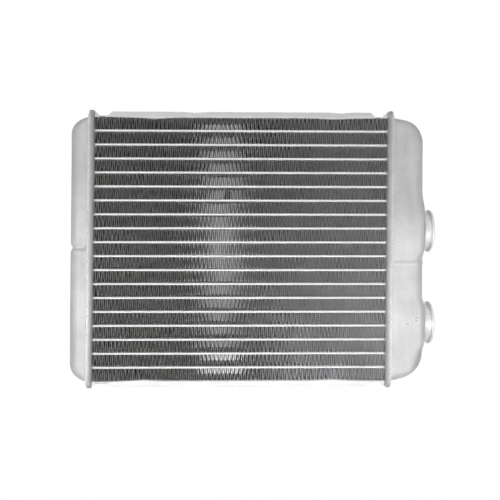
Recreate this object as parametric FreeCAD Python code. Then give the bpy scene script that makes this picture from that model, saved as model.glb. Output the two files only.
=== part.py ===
import FreeCAD, Part
import math
import os

# Vehicle heater core, brazed from aluminium, standing on its lower header ears.
# Millimetres. +X points to the side with the two pipe nozzles, -Y is the front face, +Z is up.
# The origin lies at the middle of the overall box, at the level that the lower ears stand on.

# Core: flat tubes with folded fin strips between them
tube_count = 18
tube_pitch = 9.25
tube_width = 26.0
tube_height = 1.6
tube_wall = 0.35
tube_nose = 0.5
tube_stub = 2.0
core_length = 195.2

# Fin strips: the sheet is drawn thicker than the rolled one and with fewer folds, at the same weight
fin_legs = 42
fin_sheet = 0.25
fin_setback = 0.2

# Clearances that the braze fills
fin_gap = 0.03
slot_gap = 0.03
seat_gap = 0.04

# Header plates: shallow pans with a rim round the tank's mouth and an ear at each end
header_sheet = 1.5
header_rim = 3.7
header_bend = 1.6
ear_rise = 4.9
ear_depth = 3.2
ear_neck = 0.8
ear_lip = 1.1
ear_round = 0.9
ear_bevel = 3.0

# Tanks: pressed half shells
tank_wall = 1.3
tube_side_gap = 0.5
tank_overlap = 1.5
tank_edge_radius = 5.2
mouth_corner = 4.0
left_reach = 12.0
left_corner = 11.5
right_reach = 21.5
right_high_corner = 16.5
right_low_corner = 19.0
bead_width = 1.8
bead_height = 0.45
return_bead_lift = 0.9

# Ports and nozzles on the right tank
upper_port_lift = 12.7
lower_port_lift = -50.0
boss_rise = 2.2
boss_swell = 1.4
boss_face = 26.0
boss_foot = 40.0
port_radius = 10.8
bore_radius = 10.25
neck_radius = 12.5
neck_length = 3.2
flange_radius = 14.5
flange_sheet = 1.8

# Partition between the two passes, with a tail that shows through the tank's wall
tubes_in_first_pass = 10
baffle_sheet = 1.2
baffle_tail_width = 7.0
baffle_tail_reach = 2.0

# Side plates: channels that close the fin stack, with notched flanges and end tabs
plate_sheet = 1.0
plate_height = 4.1
tab_drop = 0.4
gusset_run = 2.9
notch_run = 8.2

# Places worked out from the sizes above
row_height = tube_pitch - tube_height
fin_width = tube_width - 2 * fin_setback
tank_width = tube_width + 2 * (tube_side_gap + tank_wall)
stack_half = ((tube_count + 1) * tube_pitch - tube_height) / 2
core_half = core_length / 2
middle_z = stack_half + ear_rise
header_half = stack_half + ear_rise
header_width = tank_width + 2 * (seat_gap + header_sheet)
tank_half = stack_half + tank_overlap
tab_top = header_half - tab_drop
mouth_x = core_half + header_sheet + seat_gap
swell_x = core_half + header_rim + seat_gap
left_outer_x = core_half + header_rim + left_reach
right_outer_x = core_half + header_rim + right_reach
boss_x = right_outer_x + boss_rise
nozzle_end_x = boss_x + neck_length + flange_sheet
middle_x = (left_outer_x - nozzle_end_x) / 2
baffle_z = (tube_count / 2 - tubes_in_first_pass) * tube_pitch

RIGHT = 1
LEFT = -1
POINT_TOLERANCE = 1e-6


def point(x, y, z):
    return FreeCAD.Vector(x, y, z)


def block(x_span, y_span, z_span):
    """A box from three (low, high) pairs."""
    sizes = [high - low for low, high in (x_span, y_span, z_span)]
    return Part.makeBox(*sizes, point(x_span[0], y_span[0], z_span[0]))


def face_of(points):
    return Part.Face(Part.makePolygon(points + points[:1]))


def placed(shape, side=RIGHT):
    """Turns a shape drawn about the core's middle, for the right side, into its place in the part."""
    if side == LEFT:
        shape = shape.mirror(point(0, 0, 0), point(1, 0, 0))
    shape.translate(point(middle_x, 0, middle_z))
    return shape


def flat_oval(x_span, lift, gap=0.0):
    """A bar along X with a tube's section: two flats and bevelled noses, grown all round by gap."""
    half_width = tube_width / 2 + gap
    half_height = tube_height / 2 + gap
    shoulder = half_width - tube_nose
    nose = half_height - tube_nose
    quarter = [(half_width, nose), (shoulder, half_height)]
    upper = quarter + [(-y, z) for y, z in quarter[::-1]]
    lower = [(-y, -z) for y, z in upper]
    section = face_of([point(x_span[0], y, lift + z) for y, z in upper + lower])
    return section.extrude(point(x_span[1] - x_span[0], 0, 0))


def tube_lift(index):
    """Height of a tube's middle above the core's middle, counted from the top tube."""
    return ((tube_count - 1) / 2 - index) * tube_pitch


def make_tube(index):
    """A flat tube that passes through both header plates and ends inside the tanks."""
    lift = tube_lift(index)
    reach = core_half + header_sheet + tube_stub
    outside = flat_oval((-reach, reach), lift)
    half_passage = tube_width / 2 - tube_nose - tube_wall
    rise = tube_height / 2 - tube_wall
    passage = block((-reach, reach), (-half_passage, half_passage), (lift - rise, lift + rise))
    return placed(outside.cut(passage))


def make_fin_strip(index):
    """One sheet folded to and fro between two tubes, with each crest close under or over a flat."""
    middle = tube_lift(index) + tube_pitch / 2
    leg = (core_length - 2 * seat_gap) / fin_legs
    crest = row_height / 2 - fin_gap
    slope_length = math.hypot(leg, 2 * crest - fin_sheet)
    sheet_rise = fin_sheet * slope_length / leg
    fold = 2 * crest - sheet_rise
    start = -core_half + seat_gap
    lower = []
    upper = []
    for number in range(fin_legs + 1):
        x = start + number * leg
        z = middle - crest + fold * (number % 2)
        lower.append(point(x, -fin_width / 2, z))
        upper.append(point(x, -fin_width / 2, z + sheet_rise))
    sheet = face_of(lower + upper[::-1]).extrude(point(0, fin_width, 0))
    return placed(sheet)


def header_profile():
    """Outline of a header plate seen from the front: straight core face, rim, and an ear at each end."""
    face = core_half
    side = core_half + ear_depth
    top = [
        (core_half + header_rim, tank_half),
        (side, tank_half + ear_neck),
        (side, header_half - ear_lip),
        (side - ear_lip, header_half),
        (face + ear_round, header_half),
        (face, header_half - ear_round),
    ]
    bottom = [(x, -z) for x, z in reversed(top)]
    return face_of([point(x, -header_width / 2, z) for x, z in top + bottom])


def make_header_plate(side):
    """A pan with bent edges, a pocket for the tank's mouth and one slot for each tube."""
    plate = header_profile().extrude(point(0, header_width, 0))
    bends = [
        edge for edge in plate.Edges
        if all(abs(v.X - core_half) < POINT_TOLERANCE for v in edge.Vertexes)
        and abs(edge.Vertexes[0].Z - edge.Vertexes[1].Z) > stack_half
    ]
    plate = plate.makeFillet(header_bend, bends)
    pocket_sizes = [size + seat_gap for size in (tank_width / 2, tank_half, mouth_corner)]
    pocket = Part.Face(end_outline(core_half + header_sheet, *pocket_sizes, rounded=True))
    plate = plate.cut(pocket.extrude(point(header_rim, 0, 0)))
    plate = plate.common(bevelled_rectangle(header_width / 2, header_half, ear_bevel))
    slot_span = (core_half - header_sheet, core_half + 2 * header_sheet)
    slots = [flat_oval(slot_span, tube_lift(index), slot_gap) for index in range(tube_count)]
    return placed(plate.cut(Part.makeCompound(slots)), side)


def bevelled_rectangle(half_width, half_height, bevel):
    """A long bar along X whose section is a rectangle with bevelled corners."""
    quarter = [(half_width, half_height - bevel), (half_width - bevel, half_height)]
    upper = quarter + [(-y, z) for y, z in quarter[::-1]]
    lower = [(-y, -z) for y, z in upper]
    section = face_of([point(0, y, z) for y, z in upper + lower])
    return section.extrude(point(core_length, 0, 0))


def corner(start, end, centre, rounded):
    """An edge round a corner: a quarter circle about centre, or a straight bevel."""
    if not rounded:
        return Part.makeLine(start, end)
    middle = centre + ((start + end) / 2 - centre) * math.sqrt(2)
    return Part.Arc(start, middle, end).toShape()


def cornered_wire(corners, rounded):
    """A closed wire through straight sides and corners, each given as (start, end, centre) or one point."""
    edges = []
    for index, (start, end, centre) in enumerate(corners):
        if (start - end).Length > POINT_TOLERANCE:
            edges.append(corner(start, end, centre, rounded))
        following = corners[(index + 1) % len(corners)][0]
        edges.append(Part.makeLine(end, following))
    return Part.Wire(edges)


def shell_section(z, near_x, far_x, half_width, radius, rounded=True):
    """A tank's section at one height, from near_x out to the outer wall at far_x."""
    turn_x = far_x - radius
    turn_y = half_width - radius
    front = (point(turn_x, -half_width, z), point(far_x, -turn_y, z), point(turn_x, -turn_y, z))
    back = (point(far_x, turn_y, z), point(turn_x, half_width, z), point(turn_x, turn_y, z))
    near_front = (point(near_x, -half_width, z),) * 3
    near_back = (point(near_x, half_width, z),) * 3
    return cornered_wire([near_front, front, back, near_back], rounded)


def front_outline(outer_x, half_height, low_radius, high_radius, y):
    """A tank's outline seen from the front, with its two round outer corners."""
    low_x = outer_x - low_radius
    low_z = low_radius - half_height
    high_x = outer_x - high_radius
    high_z = half_height - high_radius
    low = (point(low_x, y, -half_height), point(outer_x, y, low_z), point(low_x, y, low_z))
    high = (point(outer_x, y, high_z), point(high_x, y, half_height), point(high_x, y, high_z))
    mouth_low = (point(mouth_x, y, -half_height),) * 3
    mouth_high = (point(mouth_x, y, half_height),) * 3
    return cornered_wire([mouth_low, low, high, mouth_high], True)


def end_outline(x, half_width, half_height, radius, rounded):
    """The outline of a tank, or of the pocket that it stands in, seen along X, with its four corners."""
    near_y = half_width - radius
    near_z = half_height - radius
    corners = []
    for y, z, turn in ((-1, -1, 0), (1, -1, 1), (1, 1, 0), (-1, 1, 1)):
        side = point(x, y * half_width, z * near_z)
        end = point(x, y * near_y, z * half_height)
        ends = (end, side) if turn else (side, end)
        corners.append((*ends, point(x, y * near_y, z * near_z)))
    return cornered_wire(corners, rounded)


def tank_form(outer_x, corners, inset, ports=(), rounded=True):
    """A tank's outer form, or its hollow when inset is the wall: what three outlines have in common.

    The corners are the radii of its lower and its upper one. Each port adds a stretch that swells
    to a flat boss.
    """
    half_width = tank_width / 2 - inset
    half_height = tank_half - inset
    far_x = outer_x - inset
    radius = tank_edge_radius - inset
    low_radius, high_radius = corners
    outline = front_outline(far_x, half_height, low_radius - inset, high_radius - inset, -half_width)
    form = Part.Face(outline).extrude(point(0, 2 * half_width, 0))
    section = shell_section(-half_height, mouth_x, far_x, half_width, radius, rounded)
    form = form.common(Part.Face(section).extrude(point(0, 0, 2 * half_height)))
    end = end_outline(mouth_x, half_width, half_height, mouth_corner - inset, rounded)
    form = form.common(Part.Face(end).extrude(point(far_x - mouth_x, 0, 0)))
    for lift in ports:
        form = form.fuse(port_swelling(lift, outer_x, inset, rounded))
    return form


def port_swelling(lift, outer_x, inset, rounded):
    """The stretch of a tank that swells, clear of the header's rim, to a flat boss and back."""
    near_x = swell_x + inset
    radius = tank_edge_radius - inset
    foot = boss_foot / 2
    face = boss_face / 2
    stations = [
        (-foot, 0, 0),
        (-face, boss_rise, boss_swell),
        (face, boss_rise, boss_swell),
        (foot, 0, 0),
    ]
    sections = []
    for offset, rise, swell in stations:
        far_x = outer_x - inset + rise
        half_width = tank_width / 2 - inset + swell
        sections.append(shell_section(lift + offset, near_x, far_x, half_width, radius, rounded))
    return Part.makeLoft(sections, True, True)


def bead_slice(outer_x, corners, inset, lift):
    """A thin slice of a tank's form, used to raise or press a bead across it."""
    zone = block(
        (swell_x, outer_x + tank_width),
        (-tank_width, tank_width),
        (lift - bead_width / 2, lift + bead_width / 2),
    )
    return tank_form(outer_x, corners, inset).common(zone)


def make_left_tank():
    """The return tank: a plain shell with a bead pressed inwards across it."""
    corners = (left_corner, left_corner)
    shell = tank_form(left_outer_x, corners, 0)
    ring = bead_slice(left_outer_x, corners, 0, return_bead_lift)
    ring = ring.cut(bead_slice(left_outer_x, corners, bead_height, return_bead_lift))
    hollow = tank_form(left_outer_x, corners, tank_wall, rounded=False)
    return placed(shell.cut(ring).cut(hollow), LEFT)


def baffle_tail(gap=0.0):
    """The partition's tail, or with a gap the slot that it passes through."""
    half = baffle_tail_width / 2 + gap
    rise = baffle_sheet / 2 + gap
    span = (right_outer_x - 2 * tank_wall, right_outer_x + baffle_tail_reach)
    return block(span, (-half, half), (baffle_z - rise, baffle_z + rise))


def make_right_tank():
    """The deeper tank: a swelling with a port for each nozzle, a raised bead and a slot at the partition."""
    lifts = (upper_port_lift, lower_port_lift)
    corners = (right_low_corner, right_high_corner)
    shell = tank_form(right_outer_x, corners, 0, lifts)
    shell = shell.fuse(bead_slice(right_outer_x, corners, -bead_height, baffle_z))
    hollow = tank_form(right_outer_x, corners, tank_wall, lifts, rounded=False)
    shell = shell.cut(hollow)
    for lift in lifts:
        port_depth = 2 * tank_wall
        start = point(boss_x - port_depth, 0, lift)
        shell = shell.cut(Part.makeCylinder(port_radius, 2 * port_depth, start, point(1, 0, 0)))
    shell = shell.cut(baffle_tail(slot_gap))
    return placed(shell.removeSplitter())


def make_baffle():
    """The partition plate inside the right tank, with its tail."""
    inset = tank_wall + seat_gap
    radius = tank_edge_radius - inset
    far_x = right_outer_x - inset
    section = shell_section(baffle_z, mouth_x, far_x, tank_width / 2 - inset, radius, rounded=False)
    plate = Part.Face(section).extrude(point(0, 0, baffle_sheet))
    plate.translate(point(0, 0, -baffle_sheet / 2))
    return placed(plate.fuse(baffle_tail()).removeSplitter())


def make_nozzle(lift):
    """A turned collar on a boss: a neck, and a flange that a pipe clamp grips."""
    seat_x = boss_x + seat_gap
    flange_x = boss_x + neck_length
    profile = [
        (seat_x, bore_radius),
        (seat_x, neck_radius),
        (flange_x, neck_radius),
        (flange_x, flange_radius),
        (nozzle_end_x, flange_radius),
        (nozzle_end_x, bore_radius),
    ]
    outline = face_of([point(x, 0, lift + radius) for x, radius in profile])
    return placed(outline.revolve(point(0, 0, lift), point(1, 0, 0), 360))


def flange_profile(y):
    """A side plate's flange seen from the front: low notches near the ends, gussets at the end tabs."""
    end = core_half - seat_gap
    web = stack_half + plate_sheet
    slope_run = plate_height - plate_sheet
    left = [
        (-end, stack_half),
        (-end, tab_top),
        (gusset_run - end, web),
        (notch_run - end, web),
        (notch_run + slope_run - end, stack_half + plate_height),
    ]
    right = [(-x, z) for x, z in reversed(left)]
    return face_of([point(x, y, z) for x, z in left + right])


def tab_profile(y):
    """The left end tab seen from the front, with its outer edge cut to the gusset's slope."""
    end = core_half - seat_gap
    web = stack_half + plate_sheet
    inner = plate_sheet - end
    inner_top = tab_top - plate_sheet * (tab_top - web) / gusset_run
    corners = [(-end, stack_half), (-end, tab_top), (inner, inner_top), (inner, stack_half)]
    return face_of([point(x, y, z) for x, z in corners])


def make_side_plate(up):
    """A channel whose web lies on the outermost fin strip, with flanges and end tabs turned outwards."""
    half = tube_width / 2
    end = core_half - seat_gap
    plate = block((-end, end), (-half, half), (stack_half, stack_half + plate_sheet))
    for y in (-half, half - plate_sheet):
        plate = plate.fuse(flange_profile(y).extrude(point(0, plate_sheet, 0)))
    tab = tab_profile(-half).extrude(point(0, 2 * half, 0))
    plate = plate.fuse(tab)
    plate = plate.fuse(tab.mirror(point(0, 0, 0), point(1, 0, 0)))
    plate = plate.removeSplitter()
    if not up:
        plate = plate.mirror(point(0, 0, 0), point(0, 0, 1))
    return placed(plate)


def build_parts():
    """Every piece by its name."""
    parts = {
        "left_tank": make_left_tank(),
        "left_header_plate": make_header_plate(LEFT),
        "right_header_plate": make_header_plate(RIGHT),
        "right_tank": make_right_tank(),
        "baffle": make_baffle(),
        "upper_nozzle": make_nozzle(upper_port_lift),
        "lower_nozzle": make_nozzle(lower_port_lift),
        "top_side_plate": make_side_plate(True),
        "bottom_side_plate": make_side_plate(False),
    }
    for index in range(tube_count):
        parts[f"tube_{index + 1:02d}"] = make_tube(index)
    for index in range(tube_count + 1):
        parts[f"fin_strip_{index + 1:02d}"] = make_fin_strip(index)
    return parts


os.makedirs("parts", exist_ok=True)
for name, shape in build_parts().items():
    shape.exportStep(f"parts/{name}.step")
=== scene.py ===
import logging
import math
import random
from dataclasses import dataclass
from enum import Enum

import bmesh
import bpy
import numpy as np
from mathutils import Euler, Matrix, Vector, noise


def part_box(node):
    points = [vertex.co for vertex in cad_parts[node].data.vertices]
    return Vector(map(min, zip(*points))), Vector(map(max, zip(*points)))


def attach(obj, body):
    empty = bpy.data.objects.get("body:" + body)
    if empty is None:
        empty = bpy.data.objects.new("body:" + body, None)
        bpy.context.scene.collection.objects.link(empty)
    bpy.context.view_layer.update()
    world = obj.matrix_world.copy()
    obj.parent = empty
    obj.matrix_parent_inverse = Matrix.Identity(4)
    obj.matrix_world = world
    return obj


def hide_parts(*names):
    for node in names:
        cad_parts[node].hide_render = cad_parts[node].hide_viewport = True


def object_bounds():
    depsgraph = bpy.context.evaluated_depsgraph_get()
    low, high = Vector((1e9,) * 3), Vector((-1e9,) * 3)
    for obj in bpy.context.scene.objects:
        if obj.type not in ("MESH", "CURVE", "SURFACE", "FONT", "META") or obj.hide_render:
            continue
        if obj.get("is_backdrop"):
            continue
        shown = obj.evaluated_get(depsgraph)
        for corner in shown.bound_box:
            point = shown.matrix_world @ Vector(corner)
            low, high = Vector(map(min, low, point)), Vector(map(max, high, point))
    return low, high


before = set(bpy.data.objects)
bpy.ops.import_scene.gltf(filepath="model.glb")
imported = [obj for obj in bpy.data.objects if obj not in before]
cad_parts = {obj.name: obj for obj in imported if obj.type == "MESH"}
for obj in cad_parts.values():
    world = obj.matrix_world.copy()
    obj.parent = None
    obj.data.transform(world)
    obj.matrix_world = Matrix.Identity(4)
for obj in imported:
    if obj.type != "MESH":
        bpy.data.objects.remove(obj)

log = logging.getLogger("heater_core")

MM = 0.001
Pair = tuple[float, float]
Triple = tuple[float, float, float]
Array = np.ndarray
Piece = bpy.types.Object
Socket = bpy.types.NodeSocket


class Slot(Enum):
    """The record's material slots."""

    TANK = "tank_aluminium"
    HEADER = "header_aluminium"
    NOZZLE = "nozzle_aluminium"
    PLATE = "side_plate_aluminium"
    TUBE = "tube_aluminium"
    FIN = "fin_aluminium"


class Side(Enum):
    """Which end of the core a piece belongs to, as the sign of its outward X."""

    LEFT = -1
    RIGHT = 1


class Level(Enum):
    """Which edge of the fin stack a piece closes, as the sign of its outward Z."""

    BOTTOM = -1
    TOP = 1


@dataclass(frozen=True)
class Span:
    """A box of the frame in millimetres."""

    low: Array
    high: Array

    @classmethod
    def of(cls, node: str = "") -> "Span":
        """The box of one node, or of the whole part."""
        return cls(*(np.array(corner) / MM for corner in (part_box(node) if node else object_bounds())))

    @property
    def middle(self) -> Array:
        """The box's middle."""
        return (self.low + self.high) / 2

    @property
    def half(self) -> Array:
        """Half the box's size along each axis."""
        return (self.high - self.low) / 2


def numbered(start: str) -> list[str]:
    """The frame's nodes whose names begin alike, in order."""
    return sorted(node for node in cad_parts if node.startswith(start))


def smooth_step(start: float, end: float, value: Array | float) -> Array | float:
    """Rises smoothly from 0 at start to 1 at end, which may be below start."""
    t = np.clip((value - start) / (end - start), 0.0, 1.0)
    return t * t * (3 - 2 * t)


def bump(value: Array | float, centre: float, reach: float) -> Array | float:
    """A bell of height 1 about centre that fades out over reach."""
    return np.exp(-(((value - centre) / reach) ** 2))


def ripple(x: float, y: float, z: float, size: float) -> float:
    """Smooth noise from -1 to 1 whose waves are about size millimetres long."""
    return noise.noise(Vector((x / size, y / size, z / size)))


def quarter(radius: float, past: float) -> float:
    """How far a round corner still reaches at a distance past its start."""
    return math.sqrt(max(0.0, radius ** 2 - max(0.0, past) ** 2))


def wrapped(angle: float) -> float:
    """An angle in degrees brought between -180 and 180."""
    return (angle + 180.0) % 360.0 - 180.0


def resample(path: Array, count: int) -> Array:
    """Spreads count points evenly along a path."""
    along = np.concatenate([[0.0], np.cumsum(np.linalg.norm(np.diff(path, axis=0), axis=1))])
    return np.column_stack([np.interp(np.linspace(0.0, along[-1], count), along, axis) for axis in path.T])


def mirrored(half: Array, axis: int, shared: int = 0) -> Array:
    """A symmetric outline from its first half, of which the last points may be shared."""
    signs = np.where(np.arange(2) == axis, -1.0, 1.0)
    return np.vstack([half, half[:len(half) - shared][::-1] * signs])


def arc(centre: Pair, radius: float, start: float, end: float, count: int) -> Array:
    """Points on a circle's arc between two angles in degrees."""
    angles = np.radians(np.linspace(start, end, count))
    return np.column_stack([centre[0] + radius * np.cos(angles), centre[1] + radius * np.sin(angles)])


def flat_oval(half_width: float, half_height: float) -> Array:
    """A flat oval in Y and Z, round at its two noses."""
    near = half_width - half_height
    return np.vstack([arc((-near, 0.0), half_height, 90, 270, 9), arc((near, 0.0), half_height, -90, 90, 9)])


def stand(ring: Array, x: float, lift: float) -> Array:
    """An outline in Y and Z, put at X and raised by lift."""
    return np.column_stack([np.full(len(ring), x), ring[:, 0], ring[:, 1] + lift])


def round_loop(half_y: float, half_z: float, radius: float) -> Array:
    """A rounded rectangle in Y and Z, with as many points for every size.

    Args:
        half_y: Half its width.
        half_z: Half its height.
        radius: Radius of its corners.

    Returns:
        Points round the loop, without the first again at the end.
    """
    signs = ((1, 1), (-1, 1), (-1, -1), (1, -1))
    corners = [np.array((y * (half_y - radius), z * (half_z - radius))) for y, z in signs]
    pieces = []
    for number, (here, ahead) in enumerate(zip(corners, corners[1:] + corners[:1])):
        turn = arc(here, radius, 90 * number, 90 * number + 90, 9)
        between = 283 if number % 2 else 22
        pieces += [turn, turn[-1] + (ahead - here) * np.linspace(0, 1, between + 2)[1:-1, None]]
    return np.vstack(pieces)


def linked(name: str, data: object) -> Piece:
    """Makes an object of a mesh, a lamp or a camera.

    Args:
        name: Its name.
        data: What it shows.

    Returns:
        The object, linked to the scene.
    """
    made = bpy.data.objects.new(name, data)
    bpy.context.collection.objects.link(made)
    return made


class Sketch:
    """Points and faces gathered for one piece, in millimetres in the part's frame."""

    def __init__(self) -> None:
        """Starts with nothing drawn."""
        self.points: list[list[float]] = []
        self.faces: list[list[int]] = []

    def add(self, points: Array, faces: list[list[int]]) -> None:
        """Adds points, and faces that number them from 0."""
        self.faces += [[corner + len(self.points) for corner in face] for face in faces]
        self.points += points.reshape(-1, 3).tolist()

    def grid(self, rows: object, around: bool = False, along: bool = False, ends: bool = False) -> "Sketch":
        """Adds a surface through rows of points.

        Args:
            rows: The points by row and column.
            around: Whether each row closes on itself.
            along: Whether the last row joins the first.
            ends: Whether flat faces close the first and the last row.

        Returns:
            The sketch.
        """
        rows = np.array(rows)
        number = np.arange(rows.shape[0] * rows.shape[1]).reshape(rows.shape[:2])
        caps = number[[0, -1]].tolist() if ends else []
        if around:
            number = np.column_stack([number, number[:, 0]])
        if along:
            number = np.vstack([number, number[0]])
        quads = np.stack([number[:-1, :-1], number[1:, :-1], number[1:, 1:], number[:-1, 1:]], axis=-1)
        self.add(rows, quads.reshape(-1, 4).tolist() + caps)
        return self

    def build(self, name: str, crease: float = 40.0) -> Piece:
        """Makes the Blender object.

        Args:
            name: The piece's name.
            crease: Angle in degrees from which an edge is shaded sharp.

        Returns:
            The object, linked to the scene.
        """
        mesh = bpy.data.meshes.new(name)
        mesh.from_pydata((np.array(self.points) * MM).tolist(), [], self.faces)
        shape = bmesh.new()
        shape.from_mesh(mesh)
        bmesh.ops.recalc_face_normals(shape, faces=shape.faces)
        shape.to_mesh(mesh)
        shape.free()
        shade(mesh, crease)
        return linked(name, mesh)


def shade(mesh: bpy.types.Mesh, crease: float) -> None:
    """Shades a mesh smooth but for the edges that turn by more than crease degrees."""
    mesh.shade_smooth()
    mesh.set_sharp_from_angle(angle=math.radians(crease))


def remake(piece: Piece, crease: float, **kinds: dict[str, object]) -> None:
    """Puts the result of modifiers into a piece's mesh.

    Args:
        piece: The piece.
        crease: Angle in degrees from which an edge is shaded sharp.
        kinds: Settings of each modifier, by its kind.
    """
    for kind, settings in kinds.items():
        modifier = piece.modifiers.new(kind.lower(), kind)
        for key, value in settings.items():
            setattr(modifier, key, value)
    bpy.context.view_layer.update()
    old = piece.data
    mesh = bpy.data.meshes.new_from_object(piece.evaluated_get(bpy.context.evaluated_depsgraph_get()))
    piece.modifiers.clear()
    piece.data = mesh
    bpy.data.meshes.remove(old)
    mesh.name = piece.name
    shade(mesh, crease)


def wall_of(sheet: float, offset: float = 0.0) -> dict[str, object]:
    """Settings that give a surface a sheet's thickness, about its middle or inwards."""
    return {"thickness": sheet * MM, "offset": offset}


def rounding(width: float, steps: int, angle: float) -> dict[str, object]:
    """Settings that round the edges that turn by more than an angle in degrees."""
    turn = math.radians(angle)
    return {"width": width * MM, "segments": steps, "limit_method": "ANGLE", "angle_limit": turn}


def confine(piece: Piece, span: Span) -> None:
    """Presses any point that stands outside a box back onto its sides."""
    for vertex in piece.data.vertices:
        vertex.co = np.clip(vertex.co, span.low * MM, span.high * MM)


class NodeSheet:
    """Short calls for laying out one node tree."""

    def __init__(self, tree: bpy.types.NodeTree) -> None:
        """Keeps the tree to lay out."""
        self.tree = tree

    @classmethod
    def shared(cls, name: str, *inputs: str) -> list:
        """Starts a shared group that reads a place on the surface.

        Args:
            name: The group's name.
            inputs: Names of its further inputs.

        Returns:
            The sheet, the place's socket and the sockets of the further inputs.
        """
        tree = bpy.data.node_groups.new(name, "ShaderNodeTree")
        names = ("Vector", *inputs)
        for key in names:
            kind = "Vector" if key in ("Vector", "Stretch", "Centre") else "Float"
            tree.interface.new_socket(key, in_out="INPUT", socket_type=f"NodeSocket{kind}")
        source = tree.nodes.new("NodeGroupInput")
        return [cls(tree), *(source.outputs[key] for key in names)]

    def put_out(self, **results: Socket) -> None:
        """Ends a shared group.

        Args:
            results: The numbers it puts out, by name.
        """
        for key in results:
            self.tree.interface.new_socket(key, in_out="OUTPUT", socket_type="NodeSocketFloat")
        target = self.tree.nodes.new("NodeGroupOutput")
        for key, value in results.items():
            self.feed(target.inputs[key], value)

    def feed(self, socket: Socket, value: object) -> None:
        """Links a socket to another one, or sets its own value.

        Args:
            socket: The socket to feed.
            value: A socket, a number, a vector or a colour.
        """
        if isinstance(value, bpy.types.NodeSocket):
            self.tree.links.new(value, socket)
        else:
            socket.default_value = (*value, 1.0) if socket.type == "RGBA" else value

    def node(self, kind: str, inputs: dict | None = None, **settings: object) -> bpy.types.Node:
        """Adds a node.

        Args:
            kind: Its type name after ShaderNode.
            inputs: What feeds its inputs, by name or number.
            settings: Its settings by name.

        Returns:
            The node.
        """
        made = self.tree.nodes.new(f"ShaderNode{kind}")
        for key, value in settings.items():
            setattr(made, key, value)
        for key, value in (inputs or {}).items():
            self.feed(made.inputs[key], value)
        return made

    def math(self, operation: str, *values: object) -> Socket:
        """The result of a Math node."""
        return self.node("Math", dict(enumerate(values)), operation=operation).outputs[0]

    def times(self, first: object, second: object) -> Socket:
        """The product of two numbers."""
        return self.math("MULTIPLY", first, second)

    def plus(self, first: object, second: object) -> Socket:
        """The sum of two numbers."""
        return self.math("ADD", first, second)

    def minus(self, first: object, second: object) -> Socket:
        """The difference of two numbers."""
        return self.math("SUBTRACT", first, second)

    def over(self, first: object, second: object) -> Socket:
        """The quotient of two numbers."""
        return self.math("DIVIDE", first, second)

    def remap(self, value: object, low: float, high: float, start: float = 0.0, end: float = 1.0) -> Socket:
        """Turns a value's place from low to high smoothly into a value from start to end."""
        inputs = dict(enumerate((value, low, high, start, end)))
        return self.node("MapRange", inputs, interpolation_type="SMOOTHSTEP").outputs[0]

    def noise(self, place: object, scale: object, detail: float, rough: float = 0.55) -> Socket:
        """Noise with scale waves a metre and finer layers, which are as strong as rough says."""
        inputs = {"Vector": place, "Scale": scale, "Detail": detail, "Roughness": rough}
        return self.node("TexNoise", inputs).outputs["Fac"]

    def vector(self, operation: str, first: object, second: object) -> bpy.types.Node:
        """A Vector Math node of two vectors."""
        return self.node("VectorMath", {0: first, 1: second}, operation=operation)

    def parts(self, place: object) -> tuple[Socket, Socket, Socket]:
        """X, Y and Z of a place."""
        return tuple(self.node("SeparateXYZ", {0: place}).outputs)

    def blend(self, share: object, first: object, second: object) -> Socket:
        """Blends two colours, from the first at share 0 to the second at 1."""
        return self.node("Mix", {"Factor": share, 6: first, 7: second}, data_type="RGBA").outputs[2]

    def group(self, name: str, **inputs: object) -> bpy.types.bpy_prop_collection:
        """Places a shared group and returns its outputs."""
        return self.node("Group", inputs, node_tree=bpy.data.node_groups[name]).outputs

    def seen(self) -> Socket:
        """1 for the rays of the camera and of reflections, 0 for those that light."""
        rays = self.node("LightPath").outputs
        return self.math("MAXIMUM", rays["Is Camera Ray"], rays["Is Glossy Ray"])


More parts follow.
